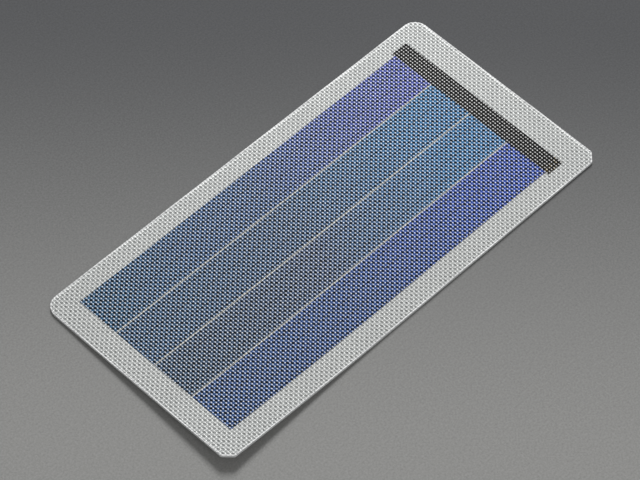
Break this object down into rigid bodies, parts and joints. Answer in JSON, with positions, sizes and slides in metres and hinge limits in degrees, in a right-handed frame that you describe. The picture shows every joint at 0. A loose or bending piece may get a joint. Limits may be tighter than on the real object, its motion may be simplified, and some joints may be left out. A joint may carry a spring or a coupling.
{
  "type": "flexible solar sheet",
  "caption": "Thin flexible laminated solar sheet with thin-film cells on steel foil in series, an embossed clear front and solder pads on its back.",
  "frame": {"origin": "middle of the back face, where the sheet rests", "axes": "+X towards the end with the contacts, along the long side; +Y towards the side with the two rounded corners; +Z out of the front face"},
  "size_m": [0.197, 0.097, 0.0012],
  "materials": {
    "back_sheet": "matt white polyester film",
    "bonding_layer": "clear to milky bonding film, fused between the sheets",
    "solar_cell": "thin-film silicon on steel foil, mirror-like, blue to violet with the thickness of the coating",
    "grid_wire": "fine copper wire with a dark carbon coat",
    "copper_ribbon": "rolled copper ribbon",
    "tinned_pad": "tinned copper, satin",
    "insulating_tape": "amber polyimide tape",
    "black_mask": "black film strip",
    "front_film": "clear fluoropolymer film with an embossed plain-weave relief"
  },
  "bodies": {
    "contact_half": {"back_sheet_contact_half": "back_sheet", "rear_bonding_layer_contact_half": "bonding_layer", "cell_1_contact_half": "solar_cell", "cell_2_contact_half": "solar_cell", "cell_3_contact_half": "solar_cell", "cell_4_contact_half": "solar_cell", "cell_1_wires_contact_half": "grid_wire", "cell_2_wires_contact_half": "grid_wire", "cell_3_wires_contact_half": "grid_wire", "cell_4_wires_contact_half": "grid_wire", "front_bonding_layer_contact_half": "bonding_layer", "front_film_contact_half": "front_film", "busbar_1": "copper_ribbon", "busbar_2": "copper_ribbon", "busbar_3": "copper_ribbon", "busbar_4": "copper_ribbon", "series_link_1_to_2": "copper_ribbon", "series_link_2_to_3": "copper_ribbon", "series_link_3_to_4": "copper_ribbon", "positive_lead": "copper_ribbon", "negative_lead": "copper_ribbon", "positive_solder_pad": "tinned_pad", "negative_solder_pad": "tinned_pad", "insulating_tape": "insulating_tape", "black_mask_strip": "black_mask"},
    "free_half": {"back_sheet_free_half": "back_sheet", "rear_bonding_layer_free_half": "bonding_layer", "cell_1_free_half": "solar_cell", "cell_2_free_half": "solar_cell", "cell_3_free_half": "solar_cell", "cell_4_free_half": "solar_cell", "cell_1_wires_free_half": "grid_wire", "cell_2_wires_free_half": "grid_wire", "cell_3_wires_free_half": "grid_wire", "cell_4_wires_free_half": "grid_wire", "front_bonding_layer_free_half": "bonding_layer", "front_film_free_half": "front_film"}
  },
  "joints": [
    {"name": "bend", "type": "hinge", "parent": "contact_half", "child": "free_half", "pos_m": [0, 0, 0.0006], "axis": [0, 1, 0], "range_deg": [-40, 40], "stiffness_Nm_per_rad": 0.2}
  ]
}
